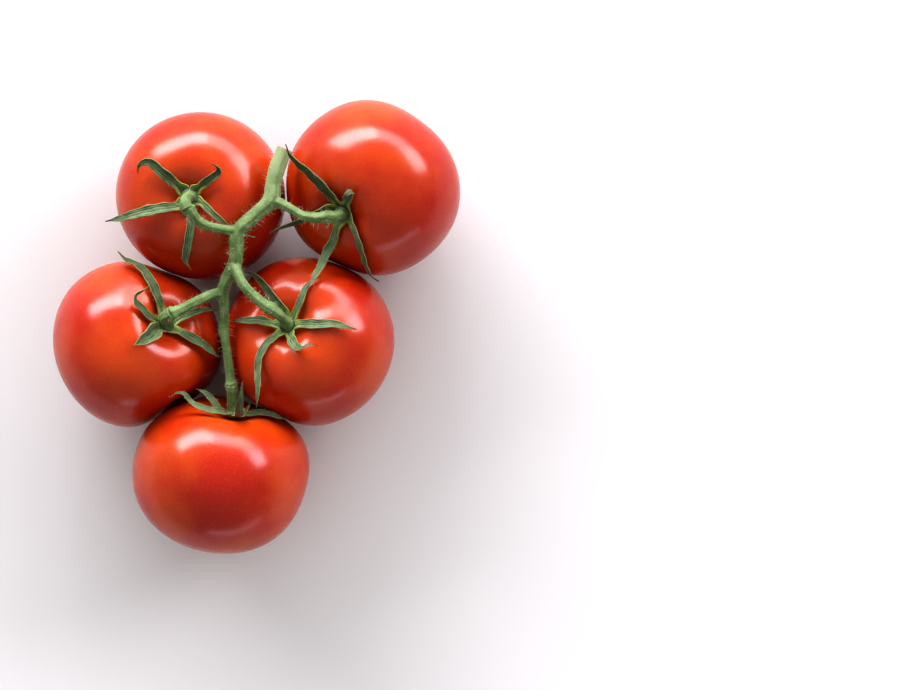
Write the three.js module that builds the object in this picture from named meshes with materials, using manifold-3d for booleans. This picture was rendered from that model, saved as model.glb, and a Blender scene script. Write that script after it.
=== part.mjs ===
// Truss of five ripe tomatoes on one green vine, lying on a surface.
// Millimetres, +Z up, the tomatoes rest on z = 0, the vine's cut end towards +Y.
import * as THREE from 'three';
import { mergeVertices } from 'three/addons/utils/BufferGeometryUtils.js';
import Module from 'manifold-3d';

const wasm = await Module();
wasm.setup();

const FULLNESS = 2.2;         // 2 would be a true ellipsoid, more is squarer in section
const SKIN_AROUND = 26;
const SKIN_DOWN = 17;
const SEPAL_THICK = 0.8;
const SEPAL_STEPS = 9;
const SEPAL_START = 4;        // degrees from the fruit's axis where every sepal leaves the hub
const SEPAL_CLEAR = 0.5;      // added under every sepal
const HUB_RADIUS = 3.8;
const HUB_HALF = 0.6;
const HUB_LIFT = 1.9;         // hub's middle above the floor of the stem pit
const STALK_LIFT = 3.9;       // stalk's end above the floor of the stem pit
const STEM_SIDES = 10;

const RED = { color: 0xd02a10, roughness: 0.25, metalness: 0 };
const STEM_GREEN = { color: 0x7f9f55, roughness: 0.75, metalness: 0 };
const LEAF_GREEN = { color: 0x4f6a30, roughness: 0.8, metalness: 0 };

// Each fruit: its middle, width and height, how far its stem end leans and towards where,
// its ribs round the stem pit, and the places where its side is pressed in (or swells, when
// negative) as [compass angle, elevation, depth, spread in degrees].
const FRUITS = [
  {
    at: [-21.6, 50.9, 27.7], across: 64.6, deep: 56, lean: 5, towards: 219,
    lobes: 5, turn: 0.6, rib: 0.010, pit: 6, pitWidth: 9,
    presses: [[215, 0, 0.8, 30], [320, 0, -0.7, 30], [250, -14, 1.4, 22]],
  },
  {
    at: [44.1, 53.6, 31.1], across: 67, deep: 58, lean: 35, towards: 225,
    lobes: 5, turn: 0.2, rib: 0.014, pit: 6, pitWidth: 9,
    presses: [
      [55, 10, 1.4, 25], [105, 0, -0.6, 25], [350, 0, -0.6, 30],
      [250, -10, 1.9, 22], [184, 0, 0.4, 30],
    ],
  },
  {
    at: [-45.2, -6, 30.3], across: 64.4, deep: 56, lean: 39, towards: 33,
    lobes: 6, turn: 0.2, rib: 0.014, pit: 6, pitWidth: 9,
    presses: [
      [200, 0, 0.8, 30], [135, 0, -1.5, 28], [304, 8, 6, 23],
      [286, -12, 1.6, 22], [70, 0, 1.8, 22], [0, 0, 0.4, 25],
    ],
  },
  {
    at: [19.8, -4.6, 29], across: 65.4, deep: 56, lean: 23, towards: 137,
    lobes: 6, turn: 0.9, rib: 0.018, pit: 7, pitWidth: 9.5,
    presses: [[130, 0, -0.5, 25], [67, 0, 1.3, 22], [240, -2, 2.9, 22]],
  },
  {
    at: [-13.3, -54.6, 32.9], across: 66.6, deep: 58, lean: 70, towards: 77,
    lobes: 6, turn: 0.2, rib: 0.016, pit: 6, pitWidth: 9.5,
    presses: [
      [90, 0, 0.9, 30], [25, 0, -0.9, 28], [335, 0, 0.7, 28],
      [126, -8, 1.8, 22], [140, -18, 0.8, 22], [60, -6, 1.8, 22],
    ],
  },
];

// Main stem from the cut end down to the last knuckle, then one side branch to each of the
// first four fruits' knuckles. Every waypoint is [x, y, z, radius].
const MAIN_STEM = [
  [12.4, 67.2, 52, 3.1], [9.5, 60, 52.5, 3], [8, 53.9, 53, 3], [7.3, 48.2, 54, 3.1], [1.1, 42.1, 55, 2.6],
  [-4.9, 36.1, 55.5, 2.7], [-5.5, 29, 54.2, 2.5], [-6.4, 24, 52.5, 2.7], [-9.6, 18.2, 50.5, 2.3],
  [-11.2, 13.8, 49.5, 2.3], [-10.8, 9, 48.5, 1.9], [-10.8, 3.2, 47.6, 1.9], [-10.9, 0.2, 47.2, 2],
  [-10.2, -5.4, 46.8, 1.65], [-9.4, -11.8, 46.2, 1.6], [-8.6, -18.4, 45.6, 1.8], [-8.2, -21.8, 45, 2.2],
];
const BRANCHES = [
  [[-4.9, 36.1, 55.5, 2.2], [-10.1, 37, 56, 1.8], [-16, 38.1, 57, 1.75], [-19.6, 40.2, 58.6, 1.9],
    [-21.8, 42.8, 60, 2.2], [-22.9, 44.3, 60.3, 2.4]],
  [[7.6, 48.4, 54.2, 2.2], [14.1, 45, 55.2, 1.75], [19.5, 42.1, 56.2, 1.8], [24.9, 41.2, 57, 2],
    [28.6, 41.6, 56.6, 2.3]],
  [[-11.2, 13.8, 49.6, 2], [-14.7, 13.1, 50.6, 1.85], [-19.2, 10.9, 52.2, 1.85], [-23.6, 8.7, 54.2, 1.85],
    [-27.1, 6.8, 55.8, 1.9], [-29.4, 5.7, 56.2, 2.4]],
  [[-6.4, 24, 53.4, 2.1], [-4.2, 19, 55.6, 1.85], [-1.6, 15, 56.6, 1.85], [1.8, 11.6, 57.2, 1.95],
    [5.1, 9.1, 57.4, 2.05], [7, 7.7, 57.2, 2.3]],
];

// Last piece of each stalk, from its knuckle towards its fruit. The end on the fruit is added.
const STALKS = [
  [[-23.7, 45.4, 60.5, 2.3], [-24.1, 46.3, 60.1, 2.2], [-24.1, 47.8, 58, 2], [-23.6, 49, 55.4, 1.9]],
  [[29.4, 41.6, 56.5, 2.2], [30.5, 41.7, 56.1, 2.1], [31.8, 42.1, 54.8, 1.9]],
  [[-30.8, 5, 56.5, 2.3], [-31.7, 4.5, 56, 2.2], [-32.2, 3.7, 54.2, 2]],
  [[7.9, 7.1, 57, 2.2], [10.5, 5.2, 55.6, 1.9], [12.4, 2.9, 53.2, 1.9]],
  [[-8.1, -22.8, 44.9, 2.1], [-8.1, -25.6, 44, 1.85], [-8.2, -28.6, 42.8, 1.85]],
];

// Sepals of each calyx: width near the hub, widest and near the tip, then waypoints as
// [degrees down from the fruit's axis, degrees round it, height off the skin].
const SEPALS = [
  [
    {
      widths: [3.4, 4.4, 3],
      path: [[6, 137, 1.2], [15, 137, 1.2], [23, 138, 2], [31, 139, 3.5], [34, 147, 4.5], [35, 155, 3]],
    },
    {
      widths: [3, 3.6, 2.4],
      path: [[7, 41, 1.2], [15, 38, 1.3], [24, 38, 2.5], [25, 43, 4], [24, 52, 5]],
    },
    {
      widths: [3.4, 4.6, 2.4],
      path: [[9, 222, 1.2], [18, 204, 1.5], [30, 199, 3], [42, 198, 5], [59, 196, 7]],
    },
    {
      widths: [2.8, 3.6, 3],
      path: [[16, 276, 1.2], [25, 271, 1.1], [35, 267, 1.2], [43, 266, 2], [48, 271, 4]],
    },
    {
      widths: [2.8, 3, 2],
      path: [[9, 333, 1.1], [17, 326, 1], [24, 324, 1], [33, 324, 1]],
    },
  ],
  [
    {
      widths: [3.4, 4.6, 2.6],
      path: [[9, 115, 1.2], [20, 118, 2], [29, 123, 5], [35, 126, 9], [39, 127, 12], [43, 125, 15]],
    },
    {
      widths: [3, 3.4, 2],
      path: [[5, 69, 1.2], [15, 63, 1.8], [21, 63, 3.5], [19, 66, 5.4], [14, 69, 5]],
    },
    {
      widths: [2.8, 3, 1.6],
      path: [[9, 160, 1.2], [17, 188, 1.6], [26, 196, 4], [32, 198, 8], [35, 200, 13]],
    },
    {
      widths: [3, 4, 2.4],
      path: [[7, 252, 1.2], [18, 256, 1.2], [24, 254, 4], [26, 257, 10], [26, 259, 16.5], [26, 260, 22]],
    },
    {
      widths: [2.8, 3.2, 2],
      path: [
        [5, 341, 1.2], [16, 316, 1.2], [27, 303, 1.2],
        [36, 296, 1.5], [49, 292, 2.5], [53, 294, 3.5],
      ],
    },
  ],
  [
    {
      widths: [3.4, 4.4, 2.4],
      path: [
        [9, 120, 1.2], [17, 122, 1.2], [25, 121, 1.5], [35, 120, 2],
        [43, 121, 2.5], [52, 123, 2.5], [66, 120, 4],
      ],
    },
    {
      widths: [3, 3.8, 1.6],
      path: [[13, 181, 1.2], [20, 170, 1.5], [25, 166, 3], [26, 160, 4.5], [24, 150, 5], [23, 136, 5]],
    },
    {
      widths: [4, 6, 4],
      path: [[12, 223, 1.4], [20, 227, 2], [26, 226, 3], [33, 225, 4.5]],
    },
    {
      widths: [3.2, 4.6, 2.6],
      path: [[8, 330, 1.2], [16, 331, 1.3], [25, 334, 2], [33, 335, 3.5], [41, 337, 5]],
    },
    {
      widths: [2.8, 3.2, 1.6],
      path: [[7, 25, 1.1], [15, 29, 1.2], [25, 29, 1.5], [34, 27, 2.5], [38, 25, 3.5]],
    },
  ],
  [
    {
      widths: [3, 3.8, 2],
      path: [[9, 97, 1.2], [16, 113, 1.2], [24, 117, 1.5], [33, 120, 3], [39, 123, 5], [43, 127, 6]],
    },
    {
      widths: [3, 3.4, 1.8],
      path: [[10, 48, 1.2], [17, 51, 1.2], [24, 56, 1.4], [32, 55, 1.4], [37, 52, 1.6]],
    },
    {
      widths: [3.2, 4.2, 2.6],
      path: [[10, 354, 1.2], [22, 352, 1.2], [31, 354, 1.5], [39, 353, 2], [47, 352, 3]],
    },
    {
      widths: [3.4, 4.2, 1.6],
      path: [[8, 291, 1.3], [17, 295, 1.5], [22, 303, 3], [24, 314, 4], [28, 323, 3]],
    },
    {
      widths: [3, 3.2, 2.2],
      path: [[9, 228, 1.2], [17, 229, 1.2], [25, 233, 1.5], [34, 240, 2.5], [42, 246, 5], [52, 249, 9]],
    },
    {
      widths: [3, 3.8, 2.2],
      path: [[9, 175, 1.2], [16, 171, 1.5], [25, 173, 1.6], [36, 172, 2]],
    },
  ],
  [
    {
      widths: [2.8, 3, 2],
      path: [
        [14, 247, 1.9], [21, 230, 2], [26, 218, 3], [29, 209, 5],
        [31, 205, 8], [34, 203, 9], [38, 202, 8],
      ],
    },
    {
      widths: [2.6, 3.4, 2],
      path: [[10, 210, 1.5], [16, 200, 4], [20, 199, 6], [24, 200, 8]],
    },
    {
      widths: [3, 4.2, 2],
      path: [[10, 292, 1.4], [21, 282, 3.6], [25, 278, 8], [25, 277, 14], [23, 276, 19]],
    },
    {
      widths: [2.6, 3, 1.8],
      path: [[7, 358, 1.2], [14, 0, 1.3], [22, 351, 2], [29, 350, 2.5], [33, 352, 3.5]],
    },
    {
      widths: [2.6, 3, 1.6],
      path: [[8, 336, 1.8], [12, 331, 4.5], [13, 330, 6]],
    },
  ],
];

const rad = THREE.MathUtils.degToRad;

function direction(compass, elevation) {
  const flat = Math.cos(rad(elevation));
  const turn = rad(compass);
  return new THREE.Vector3(flat * Math.cos(turn), flat * Math.sin(turn), Math.sin(rad(elevation)));
}

function fruitAxis(fruit) {
  return direction(fruit.towards, 90 - fruit.lean);
}

function fruitFrame(fruit) {
  const up = fruitAxis(fruit);
  const side = new THREE.Vector3(1, 0, 0).addScaledVector(up, -up.x).normalize();
  const back = new THREE.Vector3().crossVectors(up, side);
  return new THREE.Matrix4().makeBasis(side, back, up);
}

// Point of a fruit's skin, given the angle down from its axis and the angle round it (radians).
function skinPoint(fruit, down, round) {
  const power = 2 / FULLNESS;
  const near = Math.exp(-(((down - 0.75) / 0.55) ** 2));
  const ribs = 1 + fruit.rib * Math.cos(fruit.lobes * round + fruit.turn) * near;
  const out = (fruit.across / 2) * Math.abs(Math.sin(down)) ** power * ribs;
  const dip = down < Math.PI / 2 ? fruit.pit * Math.exp(-((out / fruit.pitWidth) ** 2)) : 0;
  const level = Math.sign(Math.cos(down)) * Math.abs(Math.cos(down)) ** power;
  const height = (fruit.deep / 2) * level - dip;
  const point = new THREE.Vector3(out * Math.cos(round), out * Math.sin(round), height);
  point.applyMatrix4(fruitFrame(fruit));
  for (const [compass, elevation, depth, spread] of fruit.presses) {
    const size = point.length();
    const off = point.angleTo(direction(compass, elevation));
    const push = depth * Math.exp(-((off / rad(spread)) ** 2)) * Math.min(1, size / 15);
    point.multiplyScalar(1 - push / size);
  }
  return point.add(new THREE.Vector3(...fruit.at));
}

function skinNormal(fruit, down, round) {
  const step = 0.02;
  const along = skinPoint(fruit, down + step, round).sub(skinPoint(fruit, down, round));
  const wide = step / Math.max(Math.sin(down), 0.05);
  const across = skinPoint(fruit, down, round + wide).sub(skinPoint(fruit, down, round - wide));
  return along.cross(across).normalize();
}

// A closed solid from a three.js geometry: seams welded, ready for joins and cuts.
function solid(geometry) {
  geometry.deleteAttribute('normal');
  geometry.deleteAttribute('uv');
  const welded = mergeVertices(geometry, 1e-4);
  return new wasm.Manifold(new wasm.Mesh({
    numProp: 3,
    vertProperties: new Float32Array(welded.attributes.position.array),
    triVerts: new Uint32Array(welded.index.array),
  }));
}

function fruitSolid(fruit) {
  const ball = new THREE.SphereGeometry(1, SKIN_AROUND, SKIN_DOWN).rotateX(Math.PI / 2);
  const place = ball.attributes.position;
  for (let i = 0; i < place.count; i += 1) {
    const down = Math.acos(THREE.MathUtils.clamp(place.getZ(i), -1, 1));
    const point = skinPoint(fruit, down, Math.atan2(place.getY(i), place.getX(i)));
    place.setXYZ(i, point.x, point.y, point.z);
  }
  return solid(ball).trimByPlane([0, 0, 1], 0);
}

// A round stem through waypoints that carry their own radius.
function stemSolid(waypoints) {
  const steps = (waypoints.length - 1) * 2;
  const curve = new THREE.CatmullRomCurve3(waypoints.map(([x, y, z]) => new THREE.Vector3(x, y, z)));
  const sizes = new THREE.CatmullRomCurve3(waypoints.map((point) => new THREE.Vector3(point[3], 0, 0)));
  const rod = new THREE.CylinderGeometry(1, 1, 1, STEM_SIDES, steps);
  const frames = curve.computeFrenetFrames(steps, false);
  const place = rod.attributes.position;
  for (let i = 0; i < place.count; i += 1) {
    const along = place.getY(i) + 0.5;
    const ring = Math.round(along * steps);
    const size = sizes.getPoint(curve.getUtoTmapping(along)).x;
    const point = curve.getPointAt(along);
    point.addScaledVector(frames.binormals[ring], place.getX(i) * size);
    point.addScaledVector(frames.normals[ring], place.getZ(i) * size);
    place.setXYZ(i, point.x, point.y, point.z);
  }
  return solid(rod);
}

function vineSolid() {
  return wasm.Manifold.union([MAIN_STEM, ...BRANCHES].map(stemSolid));
}

function stalkSolid(fruit, waypoints) {
  const end = skinPoint(fruit, 0, 0).addScaledVector(fruitAxis(fruit), STALK_LIFT);
  return stemSolid([...waypoints, [end.x, end.y, end.z, 1.8]]);
}

function sepalCentre(fruit, [down, round, lift]) {
  const point = skinPoint(fruit, rad(down), rad(round));
  return point.addScaledVector(skinNormal(fruit, rad(down), rad(round)), lift + SEPAL_CLEAR);
}

// Directions across the sepal at each step, carried along without twisting.
function carriedSides(tangents, firstUp) {
  const sides = [];
  let side = new THREE.Vector3().crossVectors(firstUp, tangents[0]);
  for (const tangent of tangents) {
    side = side.clone().addScaledVector(tangent, -side.dot(tangent)).normalize();
    sides.push(side);
  }
  return sides;
}

function sepalWidth([start, widest, end], along) {
  if (along < 0.35) {
    return THREE.MathUtils.lerp(start, widest, along / 0.35);
  }
  if (along < 0.8) {
    return THREE.MathUtils.lerp(widest, end, (along - 0.35) / 0.45);
  }
  return THREE.MathUtils.lerp(end, 0.7, (along - 0.8) / 0.2);
}

function sepalSolid(fruit, { widths, path }) {
  const waypoints = [[SEPAL_START, path[0][1], 1.3], ...path];
  const curve = new THREE.CatmullRomCurve3(waypoints.map((one) => sepalCentre(fruit, one)));
  const blade = new THREE.BoxGeometry(1, 1, 1, 2, 1, SEPAL_STEPS);
  const rings = Array.from({ length: SEPAL_STEPS + 1 }, (_, i) => i / SEPAL_STEPS);
  const tangents = rings.map((along) => curve.getTangentAt(along));
  const sides = carriedSides(tangents, skinNormal(fruit, rad(SEPAL_START), rad(path[0][1])));
  const place = blade.attributes.position;
  for (let i = 0; i < place.count; i += 1) {
    const along = place.getZ(i) + 0.5;
    const ring = Math.round(along * SEPAL_STEPS);
    const up = new THREE.Vector3().crossVectors(tangents[ring], sides[ring]);
    const across = place.getX(i) * sepalWidth(widths, along);
    const point = curve.getPointAt(along);
    point.addScaledVector(sides[ring], across);
    point.addScaledVector(up, place.getY(i) * SEPAL_THICK + Math.abs(across) * 0.15);
    place.setXYZ(i, point.x, point.y, point.z);
  }
  return solid(blade);
}

function hubSolid(fruit) {
  const disc = new THREE.SphereGeometry(1, 14, 8).rotateX(Math.PI / 2);
  disc.scale(HUB_RADIUS, HUB_RADIUS, HUB_HALF);
  const middle = skinPoint(fruit, 0, 0).addScaledVector(fruitAxis(fruit), HUB_LIFT);
  disc.applyMatrix4(fruitFrame(fruit).setPosition(middle));
  return solid(disc);
}

function calyxSolid(fruit, sepals) {
  return wasm.Manifold.union([hubSolid(fruit), ...sepals.map((sepal) => sepalSolid(fruit, sepal))]);
}

function meshOf(name, body, look) {
  const { vertProperties, triVerts } = body.getMesh();
  const geometry = new THREE.BufferGeometry();
  geometry.setAttribute('position', new THREE.BufferAttribute(new Float32Array(vertProperties), 3));
  geometry.setIndex(new THREE.BufferAttribute(new Uint32Array(triVerts), 1));
  geometry.computeVertexNormals();
  const mesh = new THREE.Mesh(geometry, new THREE.MeshStandardMaterial(look));
  mesh.name = name;
  return mesh;
}

const truss = new THREE.Group();
truss.name = 'tomato_truss';
truss.add(meshOf('vine', vineSolid(), STEM_GREEN));
FRUITS.forEach((fruit, i) => {
  truss.add(meshOf(`tomato_${i + 1}`, fruitSolid(fruit), RED));
  truss.add(meshOf(`stalk_${i + 1}`, stalkSolid(fruit, STALKS[i]), STEM_GREEN));
  truss.add(meshOf(`calyx_${i + 1}`, calyxSolid(fruit, SEPALS[i]), LEAF_GREEN));
});

// The middle of the footprint goes to the origin.
const box = new THREE.Box3().setFromObject(truss);
const middle = box.getCenter(new THREE.Vector3());
for (const mesh of truss.children) {
  mesh.geometry.translate(-middle.x, -middle.y, 0);
}

export default truss;
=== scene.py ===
"""Looks of a truss of five ripe tomatoes on one green vine.

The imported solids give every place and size. Sizes below are in millimetres, in the truss's own
drawing frame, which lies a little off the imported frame: TRUSS_SHIFT carries one into the other.
Meshes are in metres, +Z up, and the vine's cut end points towards +Y.
"""
import logging
import math
from dataclasses import dataclass, field
from enum import Enum

import bpy
import numpy as np
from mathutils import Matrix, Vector


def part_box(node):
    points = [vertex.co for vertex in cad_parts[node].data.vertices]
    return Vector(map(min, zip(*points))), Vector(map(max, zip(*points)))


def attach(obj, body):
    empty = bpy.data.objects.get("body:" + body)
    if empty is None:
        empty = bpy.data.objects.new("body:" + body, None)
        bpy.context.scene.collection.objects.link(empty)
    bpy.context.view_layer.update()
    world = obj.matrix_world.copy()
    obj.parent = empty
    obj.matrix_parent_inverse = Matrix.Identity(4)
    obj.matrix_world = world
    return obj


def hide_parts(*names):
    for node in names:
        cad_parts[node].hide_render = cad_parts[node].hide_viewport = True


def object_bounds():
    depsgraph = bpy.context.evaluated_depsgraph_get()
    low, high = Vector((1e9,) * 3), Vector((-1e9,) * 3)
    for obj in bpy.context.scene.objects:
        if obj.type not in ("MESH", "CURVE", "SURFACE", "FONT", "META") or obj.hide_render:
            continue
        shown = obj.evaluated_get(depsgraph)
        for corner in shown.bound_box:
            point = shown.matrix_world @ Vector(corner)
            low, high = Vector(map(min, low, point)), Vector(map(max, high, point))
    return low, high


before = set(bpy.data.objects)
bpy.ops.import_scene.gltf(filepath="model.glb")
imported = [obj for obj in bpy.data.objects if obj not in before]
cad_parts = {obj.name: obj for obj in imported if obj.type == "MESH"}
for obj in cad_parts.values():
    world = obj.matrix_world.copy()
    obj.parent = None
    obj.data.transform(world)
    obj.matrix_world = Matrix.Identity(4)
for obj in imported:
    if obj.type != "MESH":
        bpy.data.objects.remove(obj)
CAD_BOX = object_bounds()

log = logging.getLogger("truss")

MM = 0.001
BODY = "root"
VINE_CORNER = np.array([-30.4696, -22.2520, 42.8464])  # the vine's lowest corner in the drawing frame
TRUSS_SHIFT = np.array(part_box("vine")[0]) / MM - VINE_CORNER

FULLNESS = 2.2        # 2 would be a true ellipsoid, more is squarer in section
SKIN_ROWS = 120
SKIN_COLUMNS = 180
STALK_LIFT = 3.9      # the stalk's end above the floor of the stem pit
SEPAL_CLEAR = 0.35    # added under every sepal
HUB_DOWN = 5.0        # degrees from the fruit's axis to the ring where the sepals part

Array = np.ndarray


class Slot(Enum):
    """The record's material slots."""

    SKIN = "tomato_skin"
    STEM = "stem"
    SEPAL = "sepal"


# ---------------------------------------------------------------- shared geometry


def unit(vector: Array) -> Array:
    """Returns vectors of length one along the last axis."""
    return vector / np.maximum(np.linalg.norm(vector, axis=-1, keepdims=True), 1e-9)


def direction(compass: float, elevation: float) -> Array:
    """Returns the unit vector at a compass angle and an elevation, both in degrees."""
    turn, rise = math.radians(compass), math.radians(elevation)
    return np.array([math.cos(rise) * math.cos(turn), math.cos(rise) * math.sin(turn), math.sin(rise)])


def ramp(low: float, high: float, value: Array) -> Array:
    """Returns a smooth step from 0 at low to 1 at high."""
    part = np.clip((value - low) / (high - low), 0.0, 1.0)
    return part * part * (3.0 - 2.0 * part)


def spline(points: Array, count: int) -> Array:
    """Samples a Catmull-Rom curve evenly along its length.

    Args:
        points: Waypoints, one row each; extra columns such as a radius are carried along.
        count: Number of samples.

    Returns:
        The samples, one row each.
    """
    ends = np.vstack([2 * points[0] - points[1], points, 2 * points[-1] - points[-2]])
    part = np.linspace(0, 1, 24, endpoint=False)[:, None]
    runs = []
    for a, b, c, d in zip(ends[:-3], ends[1:-2], ends[2:-1], ends[3:]):
        knots = np.cumsum([0.0] + [max(np.linalg.norm(q[:3] - p[:3]), 1e-6) ** 0.5
                                   for p, q in ((a, b), (b, c), (c, d))])
        t = knots[1] + part * (knots[2] - knots[1])
        ab = a + (b - a) * (t - knots[0]) / (knots[1] - knots[0])
        bc = b + (c - b) * (t - knots[1]) / (knots[2] - knots[1])
        cd = c + (d - c) * (t - knots[2]) / (knots[3] - knots[2])
        abc = ab + (bc - ab) * (t - knots[0]) / (knots[2] - knots[0])
        bcd = bc + (cd - bc) * (t - knots[1]) / (knots[3] - knots[1])
        runs.append(abc + (bcd - abc) * (t - knots[1]) / (knots[2] - knots[1]))
    dense = np.vstack(runs + [points[-1:]])
    along = np.concatenate([[0.0], np.cumsum(np.linalg.norm(np.diff(dense[:, :3], axis=0), axis=1))])
    wanted = np.linspace(0, along[-1], count)
    return np.stack([np.interp(wanted, along, column) for column in dense.T], axis=1)


def carried(tangents: Array, first: Array) -> Array:
    """Carries a sideways direction along a curve without twisting it."""
    sides, side = [], first
    for tangent in tangents:
        side = unit(side - tangent * side.dot(tangent))
        sides.append(side)
    return np.array(sides)


def mesh_object(name: str, points: Array, faces: list, values: dict[str, Array]) -> bpy.types.Object:
    """Makes a smooth mesh object from points in the drawing frame.

    Args:
        name: The piece's name.
        points: Points in millimetres.
        faces: Vertex indices of each face.
        values: Named numbers to store on the points, for the finish to read.

    Returns:
        The new object, at the origin.
    """
    mesh = bpy.data.meshes.new(name)
    mesh.from_pydata(((points + TRUSS_SHIFT) * MM).tolist(), [], faces)
    for key, numbers in values.items():
        layer = mesh.attributes.new(key, "FLOAT", "POINT")
        layer.data.foreach_set("value", np.asarray(numbers, np.float32))
    mesh.shade_smooth()
    mesh.update()
    piece = bpy.data.objects.new(name, mesh)
    bpy.context.scene.collection.objects.link(piece)
    return piece


def settle(piece: bpy.types.Object) -> None:
    """Turns a piece's modifiers into a plain mesh and removes them."""
    bpy.context.view_layer.update()
    evaluated = piece.evaluated_get(bpy.context.evaluated_depsgraph_get())
    plain = bpy.data.meshes.new_from_object(evaluated)
    plain.name = piece.name
    piece.modifiers.clear()
    piece.data = plain


def declare(piece: bpy.types.Object, node: str) -> None:
    """Tells the frame which solid a finished piece stands for and logs it."""
    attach(piece, BODY)
    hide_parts(node)
    log.info("%s: %d faces", piece.name, len(piece.data.polygons))


# ---------------------------------------------------------------- finishes


class Recipe:
    """A material's node tree, built a node at a time."""

    def __init__(self, name: str) -> None:
        """Starts a material with its Principled shader."""
        self.material = bpy.data.materials.new(name)
        self.material.use_nodes = True
        self.tree = self.material.node_tree
        self.shader = self.tree.nodes["Principled BSDF"]
        self.place = self.node("ShaderNodeTexCoord").outputs["Object"]

    def node(self, kind: str, **settings: object) -> bpy.types.Node:
        """Adds a node and sets its properties."""
        made = self.tree.nodes.new(kind)
        for key, value in settings.items():
            setattr(made, key, value)
        return made

    def feed(self, socket: bpy.types.NodeSocket, value: object) -> None:
        """Links an output into a socket, or sets the socket to a constant."""
        if isinstance(value, bpy.types.NodeSocket):
            self.tree.links.new(value, socket)
        else:
            socket.default_value = value

    def noise(self, per_metre: float, detail: float = 2.0, rough: float = 0.5) -> bpy.types.NodeSocket:
        """Returns a noise value with a number of blotches per metre."""
        made = self.node("ShaderNodeTexNoise")
        self.feed(made.inputs["Vector"], self.place)
        self.feed(made.inputs["Scale"], per_metre)
        self.feed(made.inputs["Detail"], detail)
        self.feed(made.inputs["Roughness"], rough)
        return made.outputs["Fac"]

    def dots(self, per_metre: float, size: float, soft: float) -> bpy.types.NodeSocket:
        """Returns a mask of scattered dots, each a share of its cell wide."""
        made = self.node("ShaderNodeTexVoronoi")
        self.feed(made.inputs["Vector"], self.place)
        self.feed(made.inputs["Scale"], per_metre)
        return self.span(made.outputs["Distance"], size + soft, size)

    def span(self, value: object, low: float, high: float, top: float = 1.0) -> bpy.types.NodeSocket:
        """Maps low..high onto 0..top, clamped and smooth."""
        made = self.node("ShaderNodeMapRange", interpolation_type="SMOOTHSTEP")
        self.feed(made.inputs["Value"], value)
        self.feed(made.inputs["From Min"], low)
        self.feed(made.inputs["From Max"], high)
        self.feed(made.inputs["To Max"], top)
        return made.outputs["Result"]

    def maths(self, step: str, first: object, second: object = 0.0) -> bpy.types.NodeSocket:
        """Returns one sum, product or the like."""
        made = self.node("ShaderNodeMath", operation=step)
        self.feed(made.inputs[0], first)
        self.feed(made.inputs[1], second)
        return made.outputs[0]

    def stored(self, name: str) -> bpy.types.NodeSocket:
        """Returns a number stored on the piece's points."""
        return self.node("ShaderNodeAttribute", attribute_name=name).outputs["Fac"]

    def blend(self, share: object, under: object, over: object) -> bpy.types.NodeSocket:
        """Mixes two colours."""
        made = self.node("ShaderNodeMix", data_type="RGBA")
        self.feed(made.inputs[0], share)
        for socket, value in ((made.inputs[6], under), (made.inputs[7], over)):
            self.feed(socket, (*value, 1.0) if isinstance(value, tuple) else value)
        return made.outputs[2]

    def bump(self, height: object, depth: float, under: object = None) -> bpy.types.NodeSocket:
        """Returns normals raised by a height; depth is in millimetres."""
        made = self.node("ShaderNodeBump")
        self.feed(made.inputs["Strength"], 1.0)
        self.feed(made.inputs["Distance"], depth * MM)
        self.feed(made.inputs["Height"], height)
        if under is not None:
            self.feed(made.inputs["Normal"], under)
        return made.outputs["Normal"]

    def set(self, **sockets: object) -> None:
        """Feeds the shader's sockets, named with underscores for spaces."""
        for key, value in sockets.items():
            self.feed(self.shader.inputs[key.replace("_", " ")], value)


@dataclass(frozen=True)
class SkinFinish:
    """Glossy ripe skin: red mottled with orange, pale flecks, a paler shoulder and a brown scar."""

    deep: tuple = (0.37, 0.017, 0.003)
    bright: tuple = (0.44, 0.054, 0.004)
    shoulder: tuple = (0.53, 0.072, 0.007)
    fleck: tuple = (0.70, 0.17, 0.05)
    scar: tuple = (0.16, 0.07, 0.025)

    def material(self) -> bpy.types.Material:
        """Builds the skin's material."""
        skin = Recipe("ripe_skin")
        mottle = skin.span(skin.noise(38, 3.0), 0.35, 0.65)
        colour = skin.blend(mottle, self.deep, self.bright)
        near_stem = skin.span(skin.stored("down"), 0.38, 0.04, 1.0)
        colour = skin.blend(skin.maths("MULTIPLY", near_stem, skin.noise(70)), colour, self.shoulder)
        where = skin.span(skin.noise(240), 0.46, 0.68, 0.36)
        flecks = skin.maths("MULTIPLY", skin.dots(430, 0.045, 0.10), where)
        colour = skin.blend(flecks, colour, self.fleck)
        grain = skin.span(skin.noise(1500, 1.0), 0.5, 0.8, 0.14)
        colour = skin.blend(grain, colour, self.fleck)
        colour = skin.blend(skin.stored("scar"), colour, self.scar)
        pores = skin.bump(skin.noise(520, 2.0), 0.022)
        sheen = skin.maths("MULTIPLY_ADD", skin.noise(90), 0.10)
        sheen.node.inputs[2].default_value = 0.19
        skin.set(Base_Color=colour, Roughness=sheen, Normal=pores, IOR=1.5)
        skin.set(Subsurface_Weight=0.4, Subsurface_Scale=0.006)
        skin.shader.inputs["Subsurface Radius"].default_value = (1.0, 0.18, 0.08)
        return skin.material


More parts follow.
